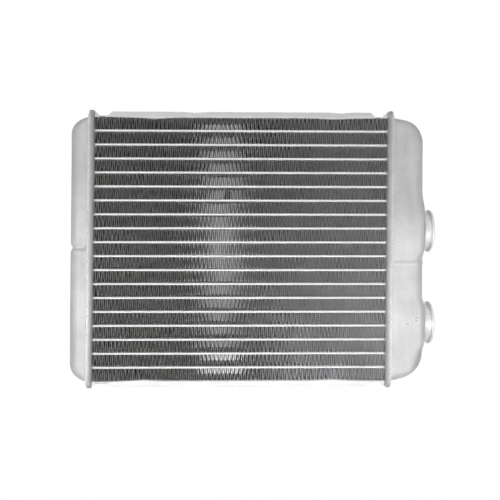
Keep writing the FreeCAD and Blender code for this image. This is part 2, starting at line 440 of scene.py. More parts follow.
class Effects:
    """The surface effects that several finishes share, each a node group built once."""

    def __init__(self) -> None:
        """Builds the groups."""
        everywhere = (self.cloud, self.grain, self.sheen_and_shade)
        for draw in (*everywhere, self.specks, self.patch, self.band, self.face, self.light_ramp_group):
            draw()

    def cloud(self) -> None:
        """Soft stains of several sizes, left by the brazing flux."""
        sheet, place, scale = NodeSheet.shared("flux_cloud", "Scale")
        wide = sheet.noise(place, scale, 3.0)
        near = sheet.noise(place, sheet.times(scale, 4.3), 5.0, 0.65)
        mixed = sheet.plus(sheet.times(wide, 0.6), sheet.times(near, 0.4))
        sheet.put_out(Stain=sheet.remap(mixed, 0.34, 0.66), Fine=near)

    def grain(self) -> None:
        """Fine streaks along one axis, as the rolls and dies leave them."""
        sheet, place, stretch, scale = NodeSheet.shared("rolled_grain", "Stretch", "Scale")
        scaled = sheet.vector("MULTIPLY", place, stretch).outputs[0]
        lines = sheet.noise(scaled, scale, 6.0, 0.7)
        dust = sheet.noise(place, sheet.times(scale, 3.0), 3.0, 0.6)
        broad = sheet.noise(scaled, sheet.times(scale, 0.22), 4.0, 0.6)
        mixed = sheet.plus(sheet.times(lines, 0.6), sheet.times(dust, 0.4))
        sheet.put_out(Height=mixed, Streak=sheet.remap(broad, 0.36, 0.64))

    def specks(self) -> None:
        """Scattered small pits, where a noise lets them through."""
        sheet, place, scale, amount = NodeSheet.shared("scattered_specks", "Scale", "Amount")
        cells = sheet.node("TexVoronoi", {"Vector": place, "Scale": scale}, feature="F1")
        dots = sheet.remap(cells.outputs["Distance"], 0.10, 0.32, 1.0, 0.0)
        chance = sheet.noise(place, sheet.times(scale, 0.45), 2.0)
        chosen = sheet.remap(sheet.minus(chance, sheet.minus(1.0, amount)), 0.0, 0.04)
        sheet.put_out(Mask=sheet.times(dots, chosen))

    def patch(self) -> None:
        """A round patch that fades out from its centre."""
        sheet, place, centre, reach = NodeSheet.shared("round_patch", "Centre", "Reach")
        away = sheet.vector("DISTANCE", place, centre).outputs["Value"]
        sheet.put_out(Mask=sheet.remap(sheet.over(away, reach), 0.55, 1.0, 1.0, 0.0))

    def band(self) -> None:
        """A ragged band along a plane that leans from X = Place by Slope, for a brazed joint or for painted
        shade along a bend.
        """
        names = ("Place", "Reach", "Slope", "Level")
        sheet, place, middle, reach, slope, level = NodeSheet.shared("ragged_line_band", *names)
        x, _, z = sheet.parts(place)
        line = sheet.plus(middle, sheet.times(sheet.minus(z, level), slope))
        away = sheet.math("ABSOLUTE", sheet.minus(x, line))
        wide = sheet.times(reach, sheet.times(sheet.noise(place, 420.0, 4.0, 0.7), 2.0))
        sheet.put_out(Mask=sheet.remap(sheet.minus(1.0, sheet.over(away, wide)), 0.0, 0.7))

    def face(self) -> None:
        """Painted light and shade in the fins: a bright strip next to the core's front and back faces, fading
        into painted shade deeper in.
        """
        sheet, place, face, depth = NodeSheet.shared("fin_depth_shade", "Face", "Depth")
        away = sheet.math("ABSOLUTE", sheet.parts(place)[1])
        deep = sheet.over(sheet.minus(face, away), depth)
        uneven = sheet.times(sheet.noise(place, 300.0, 2.0), 0.5)
        sheet.put_out(Mask=sheet.remap(sheet.plus(deep, uneven), 0.2, 1.2, 1.0, 0.0))

    def light_ramp_group(self) -> None:
        """Painted light: a pale ramp that grows between two places along the core and towards the bottom."""
        sheet, place, start, end, high, low = NodeSheet.shared("painted_light_ramp", "Start", "End", "High", "Low")
        x, _, z = sheet.parts(place)
        uneven = sheet.remap(sheet.noise(place, 55.0, 3.0), 0.3, 0.65, 0.7, 1.0)
        spread = sheet.times(sheet.remap(x, start, end), sheet.remap(z, high, low, 0.35, 1.0))
        sheet.put_out(Mask=sheet.times(spread, uneven))

    def sheen_and_shade(self) -> None:
        """Painted highlight on sharp edges and painted shade in hollows, from the surface's sharpness."""
        sheet, place = NodeSheet.shared("edge_sheen_and_hollow_shade")
        sharp = sheet.node("NewGeometry").outputs["Pointiness"]
        uneven = sheet.remap(sheet.noise(place, 260.0, 3.0), 0.3, 0.6)
        edge = sheet.times(sheet.remap(sharp, 0.51, 0.58), uneven)
        sheet.put_out(Edge=edge, Hollow=sheet.remap(sharp, 0.49, 0.44))


@dataclass(frozen=True)
class Skew:
    """How the brazed core stands slightly askew, fading out towards the tanks' outer walls."""

    slope: float = 0.0113
    middle_z: float = 91.4
    left_shift: float = 0.6
    left_fade: Pair = (-121.0, -109.0)
    left_rest: float = 0.75
    right_fade: Pair = (113.0, 94.0)
    right_rest: float = 0.35
    shift_fade: Pair = (-30.0, -100.0)

    def apply(self, piece: Piece, whole: Span) -> None:
        """Moves a piece's points sideways.

        Args:
            piece: The piece.
            whole: The part's box, which no point leaves.
        """
        flat = np.empty(3 * len(piece.data.vertices))
        piece.data.vertices.foreach_get("co", flat)
        points = flat.reshape(-1, 3)
        x = points[:, 0] / MM
        move = self.slope * (points[:, 2] / MM - self.middle_z)
        move += self.left_shift * smooth_step(*self.shift_fade, x)
        rest = self.left_rest * (move > 0)
        held = (rest + (1 - rest) * smooth_step(*self.left_fade, x)) * (
            self.right_rest + (1 - self.right_rest) * smooth_step(*self.right_fade, x))
        points[:, 0] = np.clip(x + held * move, whole.low[0], whole.high[0]) * MM
        piece.data.vertices.foreach_set("co", points.ravel())
        piece.data.update()


@dataclass(frozen=True)
class DarkPatch:
    """A round patch of painted shade at one place, or a patch of small pits where it has a scale."""

    centre: Triple
    reach: float
    strength: float
    scale: float = 0.0
    amount: float = 0.0


@dataclass(frozen=True)
class AluminiumFinish:
    """One aluminium finish, as brazed: pale metal under a thin, clouded residue of flux, with a painted
    highlight on sharp edges and painted shade in hollows.
    """

    name: str
    pale: Triple
    dull: Triple
    metallic: float = 0.3
    specular: float = 0.5
    smooth: float = 0.42
    rough: float = 0.60
    cloud_scale: float = 60.0
    grain_scale: float = 900.0
    stretch: Triple = (1.0, 1.0, 1.0)
    streak: float = 0.25
    grain_depth: float = 0.05
    grain_strength: float = 0.5
    # Colour of pits and of the painted shade in hollows, then the painted highlight on sharp edges and its
    # share, then the share of painted shade in hollows.
    pit_and_shade_colour: Triple = (0.14, 0.135, 0.13)
    edge_sheen_colour: Triple = (0.85, 0.85, 0.85)
    edge_sheen_share: float = 0.5
    hollow_shade_share: float = 0.35
    joints: tuple[float, ...] = ()
    joint_reach: float = 1.2
    joint_share: float = 0.6
    joint_colour: Triple = (0.80, 0.80, 0.79)
    crumb_scales: Pair = (640.0, 700.0)
    crumb_amount: float = 0.56
    crumb_share: float = 0.85
    # Bands of painted shade along bends and their colour, which also paints round patches of shade; then
    # those patches, or patches of real pits.
    bend_shades: tuple[float, ...] = ()
    bend_shade_reach: float = 1.5
    bend_shade_share: float = 0.5
    shade_colour: Triple = (0.30, 0.30, 0.305)
    shades_and_pits: tuple[DarkPatch, ...] = ()
    # Painted light near the fins' front and back faces over painted shade deeper in, then a ramp of painted
    # light along the core and towards the bottom.
    lit_face_colour: Triple | None = None
    face_y: float = 0.0
    face_depth: float = 1.1
    light_ramp: Pair | None = None
    light_ramp_top: float = 140.0
    light_ramp_colour: Triple = (0.74, 0.73, 0.75)

    @staticmethod
    def seam(sheet: NodeSheet, place: Socket, x: float, reach: float) -> Socket:
        """The mask of a ragged band along a line of the askew core: a brazed seam, or a bend painted with
        shade.
        """
        lean = {"Slope": Skew().slope, "Level": Skew().middle_z * MM}
        return sheet.group("ragged_line_band", Vector=place, Place=x * MM, Reach=reach * MM, **lean)["Mask"]

    def marks(self, sheet: NodeSheet, place: Socket, colour: Socket) -> Socket:
        """Lays the fins' painted light and shade, the ramp of painted light, painted shade along bends,
        brazed seams, and round patches of painted shade or of pits over the metal's colour.

        Args:
            sheet: The material's node tree.
            place: Where the surface is.
            colour: The metal's colour.

        Returns:
            The marked colour.
        """
        # Painted light near the fins' front and back faces, over the painted shade deeper in.
        if self.lit_face_colour:
            near = sheet.group("fin_depth_shade", Vector=place, Face=self.face_y * MM, Depth=self.face_depth * MM)
            colour = sheet.blend(near["Mask"], colour, self.lit_face_colour)
        # A ramp of painted light, paler along the core and towards the bottom.
        if self.light_ramp:
            ends = {"Start": self.light_ramp[0] * MM, "End": self.light_ramp[1] * MM, "High": self.light_ramp_top * MM}
            light_ramp = sheet.group("painted_light_ramp", Vector=place, Low=0.0, **ends)
            colour = sheet.blend(light_ramp["Mask"], colour, self.light_ramp_colour)
        # Bands of painted shade along the bends next to the core.
        for shaded_bend in self.bend_shades:
            band = self.seam(sheet, place, shaded_bend, self.bend_shade_reach)
            colour = sheet.blend(sheet.times(band, self.bend_shade_share), colour, self.shade_colour)
        for joint, scale in zip(self.joints, self.crumb_scales):
            band = self.seam(sheet, place, joint, self.joint_reach)
            colour = sheet.blend(sheet.times(band, self.joint_share), colour, self.joint_colour)
            crumbs = sheet.group("scattered_specks", Vector=place, Scale=scale, Amount=self.crumb_amount)
            crumbs = sheet.times(sheet.times(band, crumbs["Mask"]), self.crumb_share)
            colour = sheet.blend(crumbs, colour, self.pit_and_shade_colour)
        # Round patches of painted shade, or patches of real pits.
        for spot in self.shades_and_pits:
            centre = tuple(value * MM for value in spot.centre)
            mask = sheet.group("round_patch", Vector=place, Centre=centre, Reach=spot.reach * MM)["Mask"]
            if spot.scale:
                pits = sheet.group("scattered_specks", Vector=place, Scale=spot.scale, Amount=spot.amount)
                mask = sheet.times(mask, pits["Mask"])
            dark = self.pit_and_shade_colour if spot.scale else self.shade_colour
            colour = sheet.blend(sheet.times(mask, spot.strength), colour, dark)
        return colour

    def material(self) -> bpy.types.Material:
        """Lays out the material.

        Returns:
            The material, ready to assign.
        """
        made = bpy.data.materials.new(self.name)
        made.use_nodes = True
        sheet = NodeSheet(made.node_tree)
        place = sheet.node("TexCoord").outputs["Object"]
        cloud = sheet.group("flux_cloud", Vector=place, Scale=self.cloud_scale)
        grain = sheet.group("rolled_grain", Vector=place, Stretch=self.stretch, Scale=self.grain_scale)
        sheen_and_shade = sheet.group("edge_sheen_and_hollow_shade", Vector=place)
        streaked = sheet.times(grain["Streak"], self.streak)
        clouded = sheet.times(cloud["Stain"], 1.0 - self.streak)
        colour = sheet.blend(sheet.plus(streaked, clouded), self.dull, self.pale)
        # Sharp edges painted brighter as a highlight, hollows painted darker as shade.
        colour = sheet.blend(sheet.times(sheen_and_shade["Edge"], self.edge_sheen_share), colour, self.edge_sheen_colour)
        colour = sheet.blend(sheet.times(sheen_and_shade["Hollow"], self.hollow_shade_share), colour, self.pit_and_shade_colour)
        depth = {"Strength": self.grain_strength, "Distance": self.grain_depth * MM}
        relief = sheet.node("Bump", {**depth, "Height": grain["Height"]})
        surface = {
            "Base Color": self.marks(sheet, place, colour),
            "Metallic": self.metallic,
            "Specular IOR Level": self.specular,
            "Roughness": sheet.remap(cloud["Fine"], 0.3, 0.7, self.smooth, self.rough),
            "Normal": relief.outputs["Normal"],
        }
        for key, value in surface.items():
            sheet.feed(made.node_tree.nodes["Principled BSDF"].inputs[key], value)
        return made


class Workshop:
    """Holds the finishes and hands each finished piece to the frame."""

    LEFT_BEND: float = 0.9
    RIGHT_BEND: float = 1.2

    def __init__(self) -> None:
        """Builds the shared effects and the finishes of the record's slots."""
        Effects()
        self.whole = Span.of()
        self.skew = Skew()
        left = Span.of("left_header_plate")
        right = Span.of("right_header_plate")
        joints = (left.low[0] + self.skew.left_shift, right.high[0])
        bends = (left.high[0] + self.skew.left_shift - self.LEFT_BEND, right.low[0] + self.RIGHT_BEND)
        pits = DarkPatch((105.0, -15.8, 43.5), 9.5, 0.8, 470.0, 0.52)
        nick = DarkPatch((-107.65, -16.3, 150.1), 0.75, 0.9, 200.0, 1.0)
        sheets = {
            Slot.TANK: AluminiumFinish(
                "pressed_tank_sheet", (0.65, 0.646, 0.658), (0.51, 0.508, 0.517), metallic=0.25,
                cloud_scale=38.0, stretch=(1.0, 1.0, 0.12), joints=joints, joint_reach=0.9,
                # The broad round patch at the tank's lower right corner is painted shade; the patch of pits
                # is real.
                shades_and_pits=(DarkPatch((116.5, -11.0, 17.0), 13.0, 0.4), pits),
            ),
            Slot.HEADER: AluminiumFinish(
                "brazed_header_sheet", (0.57, 0.567, 0.57), (0.45, 0.448, 0.45),
                # The bands along the pan's bends next to the core are painted shade.
                cloud_scale=90.0, joints=joints, joint_reach=1.3, bend_shades=bends, shades_and_pits=(nick,),
            ),
            Slot.NOZZLE: AluminiumFinish(
                "turned_nozzle_metal", (0.80, 0.80, 0.79), (0.71, 0.71, 0.70), metallic=0.4,
                smooth=0.30, rough=0.45, cloud_scale=110.0, stretch=(4.0, 0.4, 0.4), grain_scale=1400.0,
            ),
            Slot.PLATE: AluminiumFinish(
                "bright_plate_sheet", (0.63, 0.63, 0.625), (0.54, 0.54, 0.54), cloud_scale=160.0,
                # The ramp of painted light covers the plates' whole length and paints the bottom plate paler
                # than the top one.
                stretch=(0.2, 1.0, 1.0), light_ramp=(-1000.0, -900.0), light_ramp_colour=(0.75, 0.75, 0.745),
            ),
            Slot.TUBE: AluminiumFinish(
                "drawn_tube_wall", (0.86, 0.86, 0.865), (0.78, 0.78, 0.785),
                cloud_scale=130.0, stretch=(0.2, 1.0, 1.0), grain_depth=0.03,
            ),
            Slot.FIN: AluminiumFinish(
                # The foil's colours are near black, painted shade deep in the fin channels; it is painted
                # paler near the front and back faces, and a ramp of painted light makes it paler towards the
                # right and the bottom.
                "fin_foil_painted_shade", (0.055, 0.055, 0.058), (0.034, 0.033, 0.030), metallic=0.03, specular=0.05,
                lit_face_colour=(0.50, 0.495, 0.48), face_y=Span.of("fin_strip_01").high[1], light_ramp=(-30.0, 30.0),
                cloud_scale=45.0, grain_scale=1200.0, grain_depth=0.02, smooth=0.45,
                hollow_shade_share=0.0, edge_sheen_share=0.3,
            ),
        }
        self.materials = {slot: finish.material() for slot, finish in sheets.items()}

    def deliver(self, piece: Piece, slot: Slot, *nodes: str) -> None:
        """Dresses a piece, hides the CAD nodes it stands for and lets it ride on the part.

        Args:
            piece: The finished piece.
            slot: The record's slot it takes its finish from.
            nodes: The CAD nodes it stands for.
        """
        self.skew.apply(piece, self.whole)
        piece.data.materials.clear()
        piece.data.materials.append(self.materials[slot])
        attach(piece, "root")
        if nodes:
            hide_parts(*nodes)
        log.info("%s: %d faces", piece.name, len(piece.data.polygons))

    def dress(self, node: str, slot: Slot) -> None:
        """Gives a CAD node that stays its finish.

        Args:
            node: The node's name.
            slot: The record's slot of its finish.
        """
        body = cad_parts[node]
        for place in range(max(1, len(body.material_slots))):
            if len(body.data.materials) <= place:
                body.data.materials.append(None)
            body.material_slots[place].material = self.materials[slot]
        log.info("%s: kept from the frame", node)


@dataclass
class Assembly:
    """A sub-assembly, which hands its pieces to the workshop."""

    shop: Workshop


@dataclass(frozen=True)
class Dent:
    """A shallow dent along the core, measured from its middle; a negative depth is a bulge."""

    x: float
    depth: float
    reach: float


def depth_of(dents: tuple[Dent, ...], x: float) -> float:
    """How deep several dents are together at x."""
    return float(sum(dent.depth * bump(x, dent.x, dent.reach) for dent in dents))


@dataclass(frozen=True)
class Knock:
    """A place where a strip's folds were knocked askew."""

    strip: int
    x: float
    lean: float
    reach: float


@dataclass
class Fold:
    """One crest of a strip: its centre, its radius, which way it points and how crumpled it is."""

    x: float
    z: float
    radius: float
    up: bool
    crumple: float


@dataclass
class FoldedFins(Assembly):
    """The fin strips: foil folded to and fro between the tubes, with round crests and louvres."""

    middle_x: float
    dents: dict[Level, tuple[Dent, ...]]
    low_crests: tuple[Dent, ...] = ()
    knocks: tuple[Knock, ...] = ()
    bent_ends: tuple[tuple[int, Side], ...] = ()
    legs: int = 143
    sheet: float = 0.18
    radius: float = 0.42
    arc_steps: int = 6
    clearance: float = 0.02
    drift: Pair = (0.25, 0.5)
    drift_wave: Pair = (9.0, 17.0)
    crest_error: float = 0.055
    calm_end: float = 8.0
    bent_room: float = 1.2
    bent_share: float = 0.9
    bent_gap: float = 0.1
    tail_length: Pair = (2.5, 5.6)
    tail_reaches: tuple[float, ...] = (0.0, 0.0, 0.1, 0.2)
    tail_bend: Pair = (0.45, 0.4)
    crumple_push: float = 0.6
    crumple_shift: float = 0.16
    radius_error: Pair = (0.10, 0.15)
    slack: Pair = (0.03, 0.25)
    bow: Pair = (0.06, 0.3)
    low_crest_range: Pair = (0.4, 1.3)
    plate_gap: float = 0.05
    seed: int = 410
    louvres: int = 12
    louvre_span: Pair = (0.08, 0.92)
    louvre_turn: float = 24.0
    louvre_width: float = 1.25
    louvre_sheet: float = 0.09
    margin: float = 2.4
    turnaround: float = 1.5
    skew: float = -0.0222
    skew_error: float = 0.012
    skew_wave: float = 19.0

    def crests(self, low_x: float, high_x: float, chance: random.Random) -> Array:
        """Where the crests are along the core, evenly spread but for slow drift and small errors.

        Args:
            low_x: X of the first crest.
            high_x: X of the last.
            chance: Source of the unevenness.

        Returns:
            X of each crest.
        """
        even = np.linspace(low_x, high_x, self.legs + chance.choice((-1, 0, 0, 1)))
        drift = chance.uniform(*self.drift)
        drift = drift * np.sin(even / chance.uniform(*self.drift_wave) + chance.uniform(0, 6))
        calm = np.minimum(1.0, np.minimum(even - even[0], even[-1] - even) / self.calm_end)
        return even + (drift + np.array([chance.gauss(0.0, self.crest_error) for _ in even])) * calm

    def folds(self, number: int, span: Span, level: Level | None, chance: random.Random) -> list[Fold]:
        """The folds of one strip.

        Args:
            number: The strip's number from the top, from 1.
            span: The strip's box.
            level: The side plate that the strip lies against, if any.
            chance: Source of the unevenness.

        Returns:
            The folds from left to right.
        """
        inset = self.radius + self.sheet + self.clearance
        bent = {side: (number, side) in self.bent_ends for side in Side}
        low_x = span.low[0] + inset + self.bent_room * bent[Side.LEFT]
        high_x = span.high[0] - inset - self.bent_room * bent[Side.RIGHT]
        places = self.crests(low_x, high_x, chance)
        first_up = chance.random() < 0.5 or bent[Side.LEFT]
        made = []
        for place, x in enumerate(places):
            up = (place % 2 == 0) == first_up
            off = x - self.middle_x
            push = max(0.0, depth_of(self.dents[level], off)) if level else 0.0
            crumple = min(1.0, push / self.crumple_push)
            error = self.radius_error[0] + self.radius_error[1] * crumple
            radius = self.radius * (1 + chance.gauss(0.0, error))
            slack = abs(chance.gauss(0.0, self.slack[0])) + crumple * abs(chance.gauss(0.0, self.slack[1]))
            if level and up == (level is Level.TOP):
                slack += push
                low = depth_of(self.low_crests, off) * (level is Level.TOP)
                slack += low * chance.uniform(*self.low_crest_range)
            half = radius + self.sheet / 2 + self.clearance + slack
            z = span.high[2] - half if up else span.low[2] + half
            shift = crumple * chance.gauss(0.0, self.crumple_shift)
            made.append(Fold(x + shift, z, radius, up, crumple))
        return made

    def fold_line(self, folds: list[Fold], chance: random.Random) -> tuple[Array, Array]:
        """The middle line of the folded foil, seen from the front.

        Args:
            folds: The folds from left to right.
            chance: Source of the unevenness.

        Returns:
            The line's points, and the two ends of each straight leg.
        """
        points: list[Array] = []
        legs: list[tuple[Array, Array]] = []
        leaving = 0.0
        for number, fold in enumerate(folds):
            sign = 1.0 if fold.up else -1.0
            arriving = leaving + 180.0 if number else 180.0
            leaving = 0.0
            if number + 1 < len(folds):
                ahead = folds[number + 1]
                way = (ahead.x - fold.x, ahead.z - fold.z)
                spread = math.degrees(math.acos((fold.radius + ahead.radius) / math.hypot(*way)))
                leaving = math.degrees(math.atan2(way[1], way[0])) + sign * spread
            start = sign * 180.0 + wrapped(arriving - sign * 180.0)
            curve = arc((fold.x, fold.z), fold.radius, start, wrapped(leaving), self.arc_steps + 1)
            if number:
                before = points[-1][-1]
                legs.append((before, curve[0]))
                bow = chance.gauss(0.0, self.bow[0]) + fold.crumple * chance.gauss(0.0, self.bow[1])
                points.append((before + curve[0])[None, :] / 2 + np.array([[bow, 0.0]]))
            points.append(curve)
        return np.vstack(points), np.array(legs)

    def loose_end(self, line: Array, fold: Fold, side: Side, bent: bool, span: Span,
                  chance: random.Random) -> Array:
        """Adds the strip's cut end beside a header plate.

        Args:
            line: The line so far.
            fold: The outermost fold.
            side: Which end it is.
            bent: Whether the end is splayed towards the plate.
            span: The strip's box.
            chance: Source of the unevenness.

        Returns:
            The line with its end.
        """
        start, plate = (line[0], span.low[0]) if side is Side.LEFT else (line[-1], span.high[0])
        if bent:
            length = self.bent_share * (span.high[2] - span.low[2])
            reach = abs(plate - start[0]) - self.bent_gap
        else:
            length = chance.uniform(*self.tail_length)
            reach = chance.choice(self.tail_reaches)
        end = np.array([side.value * reach, -length if fold.up else length])
        tail = start + np.array([end * self.tail_bend, end])
        return np.vstack([tail[::-1], line]) if side is Side.LEFT else np.vstack([line, tail])

    def lean(self, number: int, x: Array) -> Array:
        """How far the folds stray sideways for each millimetre of depth.

        Args:
            number: The strip's number.
            x: Places along the core.

        Returns:
            The lean at each place.
        """
        uneven = np.array([ripple(value, 0.0, 31.0 * number, self.skew_wave) for value in x])
        lean = self.skew + self.skew_error * uneven
        for knock in self.knocks:
            if knock.strip == number:
                lean = lean + knock.lean * bump(x, self.middle_x + knock.x, knock.reach)
        return lean

    def foil(self, sketch: Sketch, line: Array, span: Span, lean: Array) -> None:
        """Adds the folded foil as a closed sheet.

        Args:
            sketch: Where it is drawn.
            line: Middle line in X and Z.
            span: The strip's box.
            lean: The folds' lean at each point of the line.
        """
        steps = np.diff(line, axis=0)
        steps /= np.linalg.norm(steps, axis=1)[:, None]
        along = np.vstack([steps[:1], steps[:-1] + steps[1:], steps[-1:]])
        along /= np.linalg.norm(along, axis=1)[:, None]
        across = np.column_stack([-along[:, 1], along[:, 0]]) * self.sheet / 2
        rows = np.empty((len(line), 4, 3))
        corners = ((1, span.low[1]), (-1, span.low[1]), (-1, span.high[1]), (1, span.high[1]))
        for column, (sign, y) in enumerate(corners):
            edge = line + sign * across
            rows[:, column] = np.column_stack([edge[:, 0] + lean * y, np.full(len(line), y), edge[:, 1]])
        rows[:, :, 0] = np.clip(rows[:, :, 0], span.low[0] + 0.01, span.high[0] - 0.01)
        sketch.grid(rows, around=True, ends=True)

    def slats(self, sketch: Sketch, legs: Array, span: Span, lean: Array) -> None:
        """Adds the louvres of every leg, turned one way in front and the other way behind.

        Args:
            sketch: Where they are drawn.
            legs: The two ends of each leg in X and Z.
            span: The strip's box.
            lean: Each leg's lean.
        """
        half_count = self.louvres // 2
        pitch = (2 * span.half[1] - 2 * self.margin - self.turnaround) / self.louvres
        places = span.low[1] + self.margin + pitch * (np.arange(self.louvres) + 0.5)
        places[half_count:] += self.turnaround
        along = legs[:, 1] - legs[:, 0]
        across = np.column_stack([-along[:, 1], along[:, 0]])
        across /= np.linalg.norm(across, axis=1)[:, None]
        across *= np.sign(across[:, :1])
        cos, sin = math.cos(math.radians(self.louvre_turn)), math.sin(math.radians(self.louvre_turn))
        corners = []
        for number, y in enumerate(places):
            turn = -1 if number < half_count else 1
            for part in self.louvre_span:
                for width, sheet in ((-1, -1), (1, -1), (1, 1), (-1, 1)):
                    wide, thick = width * self.louvre_width / 2, sheet * self.louvre_sheet / 2
                    side_y = y + wide * cos - turn * thick * sin
                    flat = legs[:, 0] + along * part + across * (turn * wide * sin + thick * cos)
                    row = [flat[:, 0] + lean * side_y, np.full(len(legs), side_y), flat[:, 1]]
                    corners.append(np.column_stack(row))
        box = np.array([[0, 1, 2, 3], [4, 5, 6, 7], [0, 1, 5, 4], [1, 2, 6, 5], [2, 3, 7, 6], [3, 0, 4, 7]])
        starts = np.arange(len(legs) * self.louvres) * 8
        sketch.add(np.stack(corners, axis=1), (box + starts[:, None, None]).reshape(-1, 4).tolist())

    def make(self) -> None:
        """Builds one piece for each strip of the frame."""
        names = numbered("fin_strip_")
        left = Span.of("left_header_plate").high[0] + self.plate_gap
        right = Span.of("right_header_plate").low[0] - self.plate_gap
        for number, node in enumerate(names, start=1):
            box = Span.of(node)
            span = Span(np.array([left, *box.low[1:]]), np.array([right, *box.high[1:]]))
            chance = random.Random(self.seed + number)
            level = Level.TOP if number == 1 else Level.BOTTOM if number == len(names) else None
            folds = self.folds(number, span, level, chance)
            line, legs = self.fold_line(folds, chance)
            for side, fold in ((Side.LEFT, folds[0]), (Side.RIGHT, folds[-1])):
                line = self.loose_end(line, fold, side, (number, side) in self.bent_ends, span, chance)
            sketch = Sketch()
            self.foil(sketch, line, span, self.lean(number, line[:, 0]))
            self.slats(sketch, legs, span, self.lean(number, legs[:, :, 0].mean(axis=1)))
            self.shop.deliver(sketch.build(f"folded_fins_{number:02d}", 50.0), Slot.FIN, node)


@dataclass
class FlatTubes(Assembly):
    """The flat tubes, with round noses and a slight unevenness along them."""

    wall: float = 0.35
    stations: int = 84
    nose_gap: float = 0.01
    nose_wave: float = 3.0
    nose_error: float = 0.05
    lift_wave: float = 5.0
    lift_error: float = 0.03

    def make(self) -> None:
        """Builds one piece for each tube of the frame."""
        for node in numbered("tube_"):
            span = Span.of(node)
            lift = span.middle[2]
            outer = flat_oval(span.half[1] - self.nose_gap, span.half[2])
            inner = flat_oval(span.half[1] - self.wall, span.half[2] - self.wall)
            rows = []
            for x in np.linspace(span.low[0], span.high[0], self.stations):
                ring = outer.copy()
                for corner in ring:
                    give = self.nose_error * (0.5 + 0.5 * ripple(x, corner[0], lift, self.nose_wave))
                    corner[0] -= math.copysign(give, corner[0])
                    corner[1] += self.lift_error * ripple(x, lift, corner[0], self.lift_wave)
                rows.append(stand(ring, x, lift))
            rows += [stand(inner, x, lift) for x in (span.high[0], span.low[0])]
            tube = Sketch().grid(rows, around=True, along=True).build(f"flat_{node}", 35.0)
            self.shop.deliver(tube, Slot.TUBE, node)


